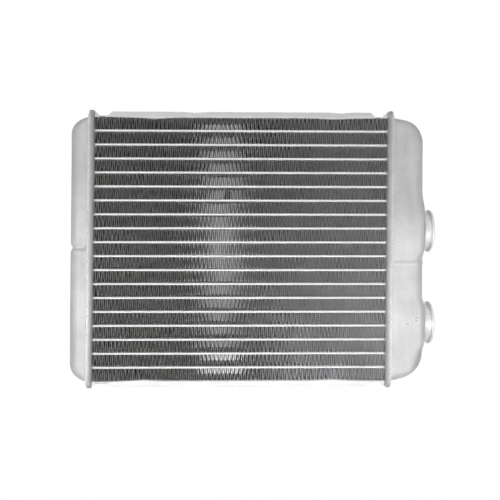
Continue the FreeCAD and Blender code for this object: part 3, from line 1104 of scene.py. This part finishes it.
@dataclass
class HeaderPan(Assembly):
    """A header plate: a pressed pan whose rim grips the tank's mouth, with an ear at each end."""

    side: Side
    sheet: float = 1.5
    bend: float = 1.9
    edge_round: float = 0.5
    ear_depth: float = 3.2
    ear_round: float = 3.0
    ear_lip: float = 1.1
    ear_seam: float = 1.75
    seam_depth: float = 0.28
    seam_half: float = 0.22
    mouth_corner: float = 4.0
    braze: float = 0.75
    braze_sink: float = 0.08
    braze_wave: float = 2.4
    gap_wave: float = 1.1
    collar: float = 0.7
    station: float = 1.4
    error: float = 0.05
    wave: float = 9.0

    def __post_init__(self) -> None:
        """Takes the places from the frame."""
        self.word = self.side.name.lower()
        self.span = Span.of(f"{self.word}_header_plate")
        self.tank = Span.of(f"{self.word}_tank")
        self.face = self.span.low[0] if self.side is Side.RIGHT else self.span.high[0]
        self.rim = 2 * self.span.half[0]

    def place(self, u: float, y: float, lift: float) -> Triple:
        """A point of the part from its outward distance, Y and height above the pan's middle."""
        return (self.face + self.side.value * u, y, self.span.middle[2] + lift)

    def rim_path(self) -> Array:
        """Middle line of the sheet across one height, from the front rim to the back one.

        Returns:
            Points as outward distance and Y.
        """
        flat = self.sheet / 2
        edge = self.span.half[1] - flat
        curve = arc((flat + self.bend, -(edge - self.bend)), self.bend, 270.0, 180.0, 9)
        lead = curve[0] + np.array([[self.rim - flat - self.bend, 0.0]]) * np.linspace(1, 0, 6)[:-1, None]
        floor = np.column_stack([np.full(7, flat), np.linspace(curve[-1, 1], 0, 8)[1:]])
        return mirrored(np.vstack([lead, curve, floor]), 1, 1)

    def make_pan(self) -> None:
        """Builds the pan between the ears."""
        path = self.rim_path()
        half = self.tank.half[2]
        rows = []
        for lift in np.arange(-half, half + self.station / 2, self.station).clip(-half, half):
            give = [self.error * ripple(u, y, lift, self.wave) * (u > self.sheet) for u, y in path]
            rows.append([self.place(u + shift, y, lift) for (u, y), shift in zip(path, give)])
        pan = Sketch().grid(rows).build(f"{self.word}_header_pan")
        remake(pan, 50.0, SOLIDIFY=wall_of(self.sheet), BEVEL=rounding(self.edge_round, 3, 50.0))
        confine(pan, self.span)
        self.shop.deliver(pan, Slot.HEADER, f"{self.word}_header_plate")

    def ear_ring(self, inner: float, outer: float, half_width: float) -> Array:
        """One level of an ear.

        Args:
            inner: Outward distance of its face on the core's side.
            outer: Outward distance of its face on the tank's side.
            half_width: Half its width.

        Returns:
            Points round the level as outward distance and Y.
        """
        thick = outer - inner
        soft = min(self.bend + self.sheet / 2, 0.48 * thick)
        hard = min(0.45, 0.3 * thick)
        share = min(1.0, thick / self.ear_depth)
        seam = inner + (self.ear_seam - inner) * share
        foot = seam - self.seam_half
        front = np.vstack([
            arc((inner + soft, -(half_width - soft)), soft, 180, 270, 6),
            [(foot, -half_width), (seam, -half_width + self.seam_depth * share),
             (seam + self.seam_half, -half_width)],
            arc((outer - hard, -(half_width - hard)), hard, 270, 360, 5),
        ])
        return mirrored(front[np.argsort(front[:, 0], kind="stable")] if foot < inner + soft else front, 1)

    def make_ears(self) -> None:
        """Builds the two ears, each a tongue with a round lip that stands on the pan's end."""
        base = self.tank.half[2]
        top = self.span.half[2]
        lip_start = top - self.ear_lip
        turn = self.ear_lip * np.sin(np.radians(np.linspace(0, 90, 9)))[1:]
        lifts = np.concatenate([[base - 0.4, base], base + np.linspace(0.2, 1.0, 5),
                                np.linspace(base + 1.2, lip_start, 4), lip_start + turn])
        for level in Level:
            rows = []
            for lift in lifts:
                lip = self.ear_lip - quarter(self.ear_lip, lift - lip_start)
                foot = float(smooth_step(base + 0.9, base, lift))
                outer = self.ear_depth + (self.rim - self.ear_depth) * foot - lip
                narrow = self.ear_round - quarter(self.ear_round, lift - (top - self.ear_round))
                wave = 0.04 * ripple(lift, level.value * 5.0, self.side.value * 9.0, 2.0)
                ring = self.ear_ring(0.8 * lip, outer + wave, self.span.half[1] - narrow)
                rows.append([self.place(u, y, level.value * lift) for u, y in ring])
            name = f"{self.word}_header_ear_{level.name.lower()}"
            piece = Sketch().grid(rows, around=True, ends=True).build(name, 50.0)
            confine(piece, self.span)
            self.shop.deliver(piece, Slot.HEADER)

    def make_braze(self) -> None:
        """Adds the uneven fillet of braze that closes the gap between the rim and the tank's mouth."""
        high = self.tank.half[2]
        wide = Span.of("left_tank").half[1] - self.braze_sink
        outer = round_loop(self.span.half[1] - 0.3, high + 0.45, 1.0)
        inner = round_loop(wide, high - self.braze_sink - Tank.inset, self.mouth_corner)
        rows = []
        for near, far in zip(outer, inner):
            size = self.braze * (0.75 + 0.45 * ripple(far[0], far[1], 7.0 * self.side.value, self.braze_wave))
            gap = ripple(far[0], far[1], 3.0 - self.side.value, self.gap_wave) > 0.42
            size *= 0.45 if gap else 1.0
            profile = ((0.0, -0.7), (0.0, -0.28), (0.22, -0.02), (0.45, 0.10 * size), (0.68, 0.32 * size),
                       (0.88, 0.64 * size), (1.0, size), (1.06, size), (1.06, -0.7))
            across = [(rise, near + (far - near) * share) for share, rise in profile]
            rows.append([self.place(self.rim + rise, *point) for rise, point in across])
        braze = Sketch().grid(rows, around=True, along=True).build(f"{self.word}_rim_braze", 60.0)
        self.shop.deliver(braze, Slot.HEADER)

    def make_collars(self) -> None:
        """Adds the small fillet of braze round each tube where it enters the pan."""
        sketch = Sketch()
        profile = ((-0.3, 0.0), (-0.3, self.collar), (0.0, self.collar), (0.2, 0.32), (0.5, 0.1),
                   (0.85, -0.02), (-0.3, -0.02))
        for span in map(Span.of, numbered("tube_")):
            lift = span.middle[2]
            rows = []
            for depth, grow in profile:
                uneven = 1 + 0.3 * ripple(lift, depth, 11.0 * self.side.value, 1.0) * (depth > 0)
                ring = flat_oval(span.half[1] + grow, span.half[2] + grow)
                rows.append(stand(ring, self.face - self.side.value * depth * uneven, lift))
            sketch.grid(rows, around=True, along=True)
        self.shop.deliver(sketch.build(f"{self.word}_tube_collars", 50.0), Slot.HEADER)

    def make(self) -> None:
        """Builds the pan, its ears, the braze round the tank's mouth and round each tube."""
        for step in (self.make_pan, self.make_ears, self.make_braze, self.make_collars):
            step()


@dataclass(frozen=True)
class Port:
    """A nozzle's place on the tank, with the swelling round it."""

    lift: float
    foot_above: float
    foot_below: float
    rise: float = 1.5
    full_rise: float = 2.2
    swell: float = 1.4
    swell_face: float = 2.0
    face: float = 11.0
    radius: float = 10.8

    def share(self, lift: float, face: float) -> float:
        """How much of the swelling, complete at face from the port's axis, stands at a height."""
        foot = self.foot_above if lift > self.lift else self.foot_below
        return float(smooth_step(foot, face, abs(lift - self.lift)))


@dataclass(frozen=True)
class Crease:
    """A line pressed across the tank, raised or, with a negative height, sunk."""

    lift: float
    height: float
    reach: float


@dataclass
class Tank(Assembly):
    """A pressed half shell with round outer corners and edges."""

    side: Side
    high_corner: float
    low_corner: float
    crease: Crease
    ports: tuple[Port, ...] = ()
    edge: float = 6.3
    port_edge: float = 5.2
    mouth_corner: float = 4.0
    wall: float = 1.3
    inset: float = 0.9
    station: float = 1.1
    mouth_fade: Pair = (9.0, 2.5)
    swell_start: float = 1.5
    crease_fade: Pair = (2.6, 4.0)
    calm_fade: Pair = (3.5, 8.0)
    broad_wave: float = 17.0
    broad_error: float = 0.10
    small_wave: float = 5.0
    small_error: float = 0.035
    wave_top: float = 0.6
    width_share: float = 0.07
    cut: float = 6.0
    sharp: float = 42.0

    def __post_init__(self) -> None:
        """Takes the places from the frame."""
        self.word = self.side.name.lower()
        self.span = Span.of(f"{self.word}_tank")
        self.mouth = self.span.low[0] if self.side is Side.RIGHT else self.span.high[0]
        self.half = self.span.half[2] - self.inset
        self.half_width = Span.of("left_tank").half[1]
        self.depth = 2 * self.span.half[0] - max((port.full_rise for port in self.ports), default=0.0)

    def lifts(self) -> Array:
        """Heights of the sections, close together where the form turns.

        Returns:
            The heights above the tank's middle, from the bottom.
        """
        turn = np.sin(np.radians(np.linspace(0, 90, 19)))
        high, low = ([self.half - radius + radius * turn for radius in (corner, self.edge, self.mouth_corner)]
                     for corner in (self.high_corner, self.low_corner))
        fine = self.crease.lift + np.arange(-4.0, 4.01, 0.25)
        plain = np.arange(-self.half + 0.8, self.half - 0.8, self.station)
        keep: list[float] = []
        for lift in np.sort(np.concatenate([*high, *(-part for part in low), fine, plain])):
            if not keep or lift - keep[-1] > 0.05:
                keep.append(float(lift))
        return np.array([*keep[:-1], self.half])

    def section(self, lift: float) -> Array:
        """One section, from the mouth's front edge round to its back edge.

        Args:
            lift: Height above the tank's middle.

        Returns:
            Points as outward distance from the mouth and Y.
        """
        corner = self.high_corner if lift > 0 else self.low_corner
        far = self.depth - corner + quarter(corner, abs(lift) - (self.half - corner))
        full, at_mouth = (self.half_width - radius + quarter(radius, abs(lift) - (self.half - radius))
                          for radius in (self.edge, self.mouth_corner))
        near = max((port.share(lift, port.face) for port in self.ports), default=0.0)
        far += sum(port.rise * port.share(lift, port.face) for port in self.ports)
        swell = sum(port.swell * port.share(lift, port.swell_face) for port in self.ports)
        radius = min(self.edge + (self.port_edge - self.edge) * near, 0.55 * far, full - 0.3)
        front = np.vstack([
            np.column_stack([np.linspace(0, far - radius, 14)[:-1], np.full(13, -full)]),
            arc((far - radius, -full + radius), radius, -90, 0, 14),
            np.column_stack([np.full(9, far), np.linspace(-full + radius, 0, 10)[1:]]),
        ])
        front[:, 1] -= (at_mouth - full) * smooth_step(*self.mouth_fade, front[:, 0]) * (-front[:, 1] / full)
        across = np.clip(-front[:, 1] / full, 0, 1)
        front[:, 1] -= swell * smooth_step(self.swell_start, 0.55 * self.depth, front[:, 0]) * across
        raised = self.crease.height * float(bump(lift, self.crease.lift, self.crease.reach))
        front[:, 1] -= raised * smooth_step(*self.crease_fade, front[:, 0]) * smooth_step(0.0, 0.3, across)
        front[:, 0] += raised * smooth_step(far - radius, far, front[:, 0])
        return mirrored(front, 1, 1)

    def skin(self, u: float, y: float, lift: float) -> Triple:
        """A point of the pressed surface, which isn't quite even.

        Args:
            u: Outward distance from the mouth.
            y: Its Y.
            lift: Height above the tank's middle.

        Returns:
            The point of the part.
        """
        give = self.broad_error * (ripple(u, y, lift, self.broad_wave) - self.wave_top)
        give += self.small_error * (ripple(u, y, lift, self.small_wave) - self.wave_top)
        give *= float(smooth_step(*self.calm_fade, u))
        x = self.mouth + self.side.value * (u + give)
        return (x, y * (1 + self.width_share * give), self.span.middle[2] + lift)

    def make(self) -> None:
        """Builds the shell and cuts its ports."""
        rows = [[self.skin(u, y, lift) for u, y in self.section(lift)] for lift in self.lifts()]
        tank = Sketch().grid(rows, ends=True).build(f"{self.word}_tank_shell")
        remake(tank, self.sharp, SOLIDIFY=wall_of(self.wall, -1.0))
        for port in self.ports:
            ring = arc((0.0, port.lift), port.radius, 0, 360, 65)[:-1]
            ends = [stand(ring, self.mouth + self.side.value * (self.depth + past), self.span.middle[2])
                    for past in (-self.cut, self.cut)]
            cutter = Sketch().grid(ends, around=True, ends=True).build("port_cutter")
            settings = {"operation": "DIFFERENCE", "solver": "EXACT", "object": cutter}
            remake(tank, self.sharp, BOOLEAN=settings)
            bpy.data.objects.remove(cutter)
        confine(tank, self.span)
        self.shop.deliver(tank, Slot.TANK, f"{self.word}_tank")


@dataclass
class Nozzle(Assembly):
    """A turned collar: a spigot in the tank's port, a neck and a round rolled flange."""

    name: str
    bore: float = 10.25
    neck: float = 12.5
    flange: float = 14.5
    flange_sheet: float = 1.8
    bore_round: float = 0.75
    turn_step: float = 3.75
    braze_error: float = 0.12
    braze_wave: float = 3.0
    braze_reach: float = 0.5

    def profile(self, seat: float, span: Span) -> Array:
        """Outline of the turned wall as X and radius.

        Args:
            seat: X of the tank's boss.
            span: The nozzle's box.

        Returns:
            Points round the wall, closed by the last joining the first.
        """
        start, end = span.low[0], span.high[0]
        roll = self.flange_sheet / 2
        return np.vstack([
            [(start, self.bore), (start, self.bore + 0.4), (seat - 0.3, self.bore + 0.5)],
            [(seat - 0.35, self.neck + 0.6), (seat + 0.02, self.neck + 0.62)],
            arc((seat + 0.62, self.neck + 0.55), 0.55, 190, 270, 5),
            arc((end - self.flange_sheet - 0.35, self.neck + 0.45), 0.45, 270, 350, 6),
            arc((end - roll, self.flange - roll), roll, 180, 0, 13),
            arc((end - self.bore_round, self.bore + self.bore_round), self.bore_round, 0, -90, 6),
        ])

    def make(self) -> None:
        """Builds the collar with the ring of braze at its foot."""
        span = Span.of(self.name)
        lift = span.middle[2]
        seat = Span.of("right_tank").high[0] - (Port.full_rise - Port.rise)
        outline = self.profile(seat, span)
        rows = []
        for angle in np.radians(np.arange(0, 360, self.turn_step)):
            cos, sin = math.cos(angle), math.sin(angle)
            uneven = self.braze_error * ripple(8 * cos, 8 * sin, lift, self.braze_wave)
            row = []
            for x, radius in outline:
                foot = float(bump(x, seat + 0.1, self.braze_reach)) if radius > self.neck else 0.0
                grown = min(radius + uneven * foot, self.flange)
                row.append((x, grown * cos, lift + grown * sin))
            rows.append(row)
        collar = Sketch().grid(rows, around=True, along=True).build(f"{self.name}_collar", 50.0)
        self.shop.deliver(collar, Slot.NOZZLE, self.name)


@dataclass
class SidePlate(Assembly):
    """A channel that closes the fin stack, with notched flanges and upturned end tabs."""

    level: Level
    dents: tuple[Dent, ...]
    dips: tuple[Dent, ...]
    sheet: float = 1.0
    bend: float = 0.7
    flange_height: float = 4.1
    gusset_run: float = 2.9
    notch_run: float = 8.2
    worn: float = 0.05
    worn_waves: Pair = (3.5, 14.0)
    station: float = 1.5
    edge_round: float = 0.18
    tab_round: float = 0.25

    def __post_init__(self) -> None:
        """Takes the places from the frame."""
        self.word = self.level.name.lower()
        self.span = Span.of(f"{self.word}_side_plate")
        self.base = self.span.low[2] if self.level is Level.TOP else self.span.high[2]
        self.tab_height = 2 * self.span.half[2]

    def place(self, x: float, y: float, rise: float) -> Triple:
        """A point of the part from its X, Y and height above the plate's inner face."""
        return (x, y, self.base + self.level.value * rise)

    def flange_top(self, inward: float) -> float:
        """Height of the flange's edge at a distance from the plate's end.

        Args:
            inward: The distance.

        Returns:
            The height above the plate's inner face.
        """
        low = 0.95 * self.sheet
        corners = [0.0, self.gusset_run, self.notch_run, self.notch_run + self.flange_height - self.sheet]
        return float(np.interp(inward, corners, [self.tab_height, low, low, self.flange_height]))

    def half_section(self, top: float, drop: float) -> Array:
        """Middle line of the sheet from the front flange's edge to the plate's middle.

        Args:
            top: Height of the flange's edge.
            drop: How far a dent pushes the plate towards the fins.

        Returns:
            Points as Y and height.
        """
        flat = self.sheet / 2
        edge = self.span.half[1] - flat
        curve = arc((-(edge - self.bend), flat + self.bend), self.bend, 180, 270, 9) - (0.0, drop)
        full = np.vstack([[(-edge, max(top, curve[0, 1] + 0.01))], curve])
        below = full[:, 1] <= top
        if not below[0]:
            first = int(np.argmax(below))
            full = np.vstack([[(full[first, 0], top)], full[first:]])
        rest = np.column_stack([np.linspace(curve[-1, 0], 0, 8)[1:], np.full(7, flat - drop)])
        half = np.vstack([resample(full, 14), rest])
        half[:, 1] = np.maximum(half[:, 1], flat - drop)
        return half

    def make_channel(self) -> None:
        """Builds the plate with its two flanges."""
        end = self.span.half[0]
        close = [0.0, 0.7, 1.4, 2.1, 2.9, 3.5, 7.6, 8.2, 8.8, 9.8, 10.8, 11.3, 12.0]
        marks = [side.value * (end - inward) for side in Side for inward in close]
        rows = []
        for off in np.unique(np.round(np.concatenate([np.arange(-end, end, self.station), marks]), 3)):
            x = self.span.middle[0] + off
            top = self.flange_top(end - abs(off))
            waves = [ripple(x, 9.0 * number, 40.0 * self.level.value, size)
                     for number, size in enumerate(self.worn_waves)]
            worn = self.worn * (2 + sum(waves)) * (end - abs(off) > self.notch_run)
            top -= float(smooth_step(1.5, 3.0, top)) * (depth_of(self.dips, off) + worn)
            both = mirrored(self.half_section(top, depth_of(self.dents, off)), 0, 1)
            rows.append([self.place(x, y, rise) for y, rise in both])
        plate = Sketch().grid(rows).build(f"{self.word}_channel")
        remake(plate, 55.0, SOLIDIFY=wall_of(self.sheet), BEVEL=rounding(self.edge_round, 2, 55.0))
        confine(plate, self.reach())
        self.shop.deliver(plate, Slot.PLATE, f"{self.word}_side_plate")

    def reach(self) -> Span:
        """The plate's box, let out towards the fins for its dents."""
        out = -self.level.value * np.array([0.0, 0.0, max(dent.depth for dent in self.dents)])
        return Span(self.span.low + np.minimum(out, 0.0), self.span.high + np.maximum(out, 0.0))

    def make_tabs(self) -> None:
        """Builds the upturned end tabs, whose top edges slope with the flanges."""
        sketch = Sketch()
        high = self.tab_height
        tilt = high - self.flange_top(self.sheet)
        for side in Side:
            outer = self.span.middle[0] + side.value * self.span.half[0]
            inner = outer - side.value * self.sheet
            rows = []
            for rise, trim in ((0.3, 0.0), (0.7, 0.0), (high - 1.1, 0.0),
                               (high - 0.5, 0.35), (high - 0.08, 1.1)):
                wide = self.span.half[1] - trim - 0.02
                low = rise - tilt * float(smooth_step(1.0, high, rise))
                across = ((outer, -wide, rise), (inner, -wide, low), (inner, wide, low), (outer, wide, rise))
                rows.append([self.place(*corner) for corner in across])
            sketch.grid(rows, around=True, ends=True)
        tabs = sketch.build(f"{self.word}_channel_tabs")
        remake(tabs, 50.0, BEVEL=rounding(self.tab_round, 2, 50.0))
        self.shop.deliver(tabs, Slot.PLATE)

    def make(self) -> None:
        """Builds the channel and its end tabs."""
        self.make_channel()
        self.make_tabs()


@dataclass
class Studio:
    """Pale floor, soft light and the camera."""

    target: Triple = (-1.70, -13.0, 91.43)
    distance: float = 450.0
    azimuth: float = -1.2
    roll: float = -0.04
    lens: float = 48.77
    fill: float = 0.27
    floor_half: float = 9000.0
    wall_y: float = 32.0
    wall_half: float = 320.0
    wall_high: float = 420.0
    shade_middle: Pair = (-8.0, 101.0)
    shade_half: Pair = (98.0, 77.0)
    shade_fade: float = 14.0
    shade_level: float = 0.20

    def camera(self) -> None:
        """Places the camera before the front face, a little to the left and slightly rolled."""
        data = bpy.data.cameras.new("front_camera")
        data.lens = self.lens
        data.sensor_width = 36.0
        data.clip_start = 0.01
        camera = linked("front_camera", data)
        turn = math.radians(self.azimuth)
        place = Vector(self.target) + self.distance * Vector((math.sin(turn), -math.cos(turn), 0.0))
        camera.location = place * MM
        camera.rotation_euler = Euler((math.radians(90), math.radians(self.roll), turn), "XYZ")
        bpy.context.scene.camera = camera

    def lamp(self, name: str, place: Triple, aim: Triple, size: Pair, watts: float) -> None:
        """Adds one soft panel of light.

        Args:
            name: Its name.
            place: Where it stands, in metres.
            aim: What it points at.
            size: Its width and height.
            watts: Its power.
        """
        data = bpy.data.lights.new(name, "AREA")
        data.shape = "RECTANGLE"
        data.size, data.size_y = size
        data.energy = watts
        lamp = linked(name, data)
        lamp.location = place
        lamp.rotation_euler = (Vector(aim) - Vector(place)).to_track_quat("-Z", "Y").to_euler()
        lamp.visible_camera = False

    def world(self) -> None:
        """A white surround for the camera and for reflections, and a weaker fill light."""
        world = bpy.data.worlds.new("studio_surround")
        bpy.context.scene.world = world
        world.use_nodes = True
        sheet = NodeSheet(world.node_tree)
        clear = sheet.node("LightPath").outputs["Is Transmission Ray"]
        strength = sheet.remap(sheet.math("MAXIMUM", sheet.seen(), clear), 0.0, 1.0, self.fill, 1.0)
        background = world.node_tree.nodes["Background"]
        sheet.feed(background.inputs["Color"], (1.0, 1.0, 1.0))
        sheet.feed(background.inputs["Strength"], strength)

    def shade_share(self, sheet: NodeSheet) -> Socket:
        """How much of the backdrop's own brightness is left right behind the core, where a soft shadow is
        painted by place over the real shade of its matt part.

        Args:
            sheet: The material's node tree.

        Returns:
            The share.
        """
        x, _, z = sheet.parts(sheet.node("TexCoord").outputs["Object"])
        squares = []
        for socket, middle, half in zip((x, z), self.shade_middle, self.shade_half):
            away = sheet.math("ABSOLUTE", sheet.minus(socket, middle * MM))
            out = sheet.math("MAXIMUM", sheet.minus(away, half * MM), 0.0)
            squares.append(sheet.times(out, out))
        away = sheet.math("SQRT", sheet.plus(*squares))
        return sheet.remap(away, 0.0, self.shade_fade * MM, self.shade_level, 1.0)

    def pale(self, name: str, share: float, strength: float, shaded: bool) -> bpy.types.Material:
        """A pale matt surface that the camera and reflections see brighter.

        Args:
            name: The material's name.
            share: How much of what they see is its own brightness.
            strength: That brightness.
            shaded: Whether a soft shadow is painted on it right behind the core, and it is clear from its
                back.

        Returns:
            The material.
        """
        made = bpy.data.materials.new(name)
        made.use_nodes = True
        tree = made.node_tree
        tree.nodes.remove(tree.nodes["Principled BSDF"])
        sheet = NodeSheet(tree)
        paint = sheet.node("BsdfDiffuse", {"Color": (0.9, 0.9, 0.9)}).outputs[0]
        glow = sheet.node("Emission", {"Strength": strength}).outputs[0]
        own = sheet.times(sheet.seen(), self.shade_share(sheet) if shaded else share)
        shown = sheet.node("MixShader", {0: own, 1: paint, 2: glow}).outputs[0]
        if shaded:
            back = sheet.node("NewGeometry").outputs["Backfacing"]
            clear = sheet.node("BsdfTransparent").outputs[0]
            shown = sheet.node("MixShader", {0: back, 1: shown, 2: clear}).outputs[0]
        sheet.feed(tree.nodes["Material Output"].inputs["Surface"], shown)
        return made

    def floor(self) -> None:
        """A pale floor that keeps the part's shadow."""
        places = np.linspace(-self.floor_half, self.floor_half, 9)
        floor = Sketch().grid([[(x, y, 0.0) for x in places] for y in places]).build("studio_floor")
        floor.data.materials.append(self.pale("pale_floor", 0.83, 1.14, False))
        floor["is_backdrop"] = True

    def wall(self) -> None:
        """A pale backdrop close behind the part, clear from behind, with a soft shadow painted right behind
        the core over the real shade of its matt part.
        """
        mesh = bpy.data.meshes.new("studio_backdrop")
        low, high = -self.wall_half, self.wall_half
        corners = ((low, 0.0), (high, 0.0), (high, self.wall_high), (low, self.wall_high))
        mesh.from_pydata([(x * MM, self.wall_y * MM, z * MM) for x, z in corners], [], [(0, 1, 2, 3)])
        mesh.materials.append(self.pale("pale_backdrop", 1.0, 1.02, True))
        backdrop = linked("studio_backdrop", mesh)
        backdrop.visible_diffuse = False
        backdrop.visible_shadow = False
        backdrop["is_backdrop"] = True

    def make(self) -> None:
        """Sets up everything round the part."""
        bpy.context.scene.view_settings.view_transform = "Standard"
        for step in (self.camera, self.world, self.floor, self.wall):
            step()
        middle = (0.0, 0.0, 0.09)
        self.lamp("front_window", (-0.42, -1.20, 0.20), middle, (0.6, 0.4), 1.75)
        self.lamp("low_window", (0.03, -0.21, 0.012), (0.03, 0.0, 0.0), (0.46, 0.02), 0.38)
        self.lamp("left_window", (-1.2, -0.9, 0.1), middle, (0.5, 0.5), 0.9)
        self.lamp("top_window", (0.2, 0.1, 1.2), middle, (1.0, 1.0), 0.7)
        self.lamp("back_window", (-0.1, 0.9, 0.08), middle, (0.6, 0.3), 3.0)
        log.info("studio: set up")


TOP_WEB = (Dent(-57.2, 0.75, 8.0), Dent(61.9, 0.6, 9.0), Dent(-90.0, -0.45, 8.0), Dent(93.0, -0.3, 6.0))
BOTTOM_WEB = (Dent(-62.6, 0.6, 8.0), Dent(61.9, 0.6, 8.0), Dent(-91.0, -0.5, 11.0), Dent(92.0, -0.4, 10.0))
TOP_EDGE = (Dent(-30.6, 0.6, 5.0), Dent(66.2, 0.6, 4.5), Dent(43.9, 0.25, 1.2))
BOTTOM_EDGE = (Dent(27.0, 0.3, 6.0),)


def main() -> None:
    """Builds the studio and every sub-assembly in order."""
    logging.basicConfig(level=logging.INFO, format="%(name)s: %(message)s")
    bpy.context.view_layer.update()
    Studio().make()
    shop = Workshop()
    middle = Span.of("right_tank").middle[2]
    nodes = ("upper_nozzle", "lower_nozzle", "baffle")
    upper, lower, ridge = (Span.of(node).middle[2] - middle for node in nodes)
    Tank(shop, Side.LEFT, 11.5, 11.5, Crease(0.9, -1.0, 1.7)).make()
    ports = (Port(upper, 27.0, 20.0), Port(lower, 18.5, 19.5))
    Tank(shop, Side.RIGHT, 16.5, 19.0, Crease(ridge, 0.33, 1.0), ports).make()
    Nozzle(shop, "upper_nozzle").make()
    Nozzle(shop, "lower_nozzle").make()
    for side in Side:
        HeaderPan(shop, side).make()
    FlatTubes(shop).make()
    SidePlate(shop, Level.TOP, TOP_WEB, TOP_EDGE).make()
    SidePlate(shop, Level.BOTTOM, BOTTOM_WEB, BOTTOM_EDGE).make()
    FoldedFins(
        shop,
        middle_x=Span.of("tube_01").middle[0],
        dents={Level.TOP: TOP_WEB, Level.BOTTOM: BOTTOM_WEB},
        low_crests=(Dent(-90.5, 0.5, 3.5),),
        knocks=(Knock(6, -8.6, 0.06, 3.0),),
        bent_ends=((8, Side.LEFT), (13, Side.LEFT), (18, Side.LEFT), (6, Side.RIGHT), (10, Side.RIGHT)),
    ).make()
    shop.dress("baffle", Slot.HEADER)


if __name__ == "__main__":
    main()
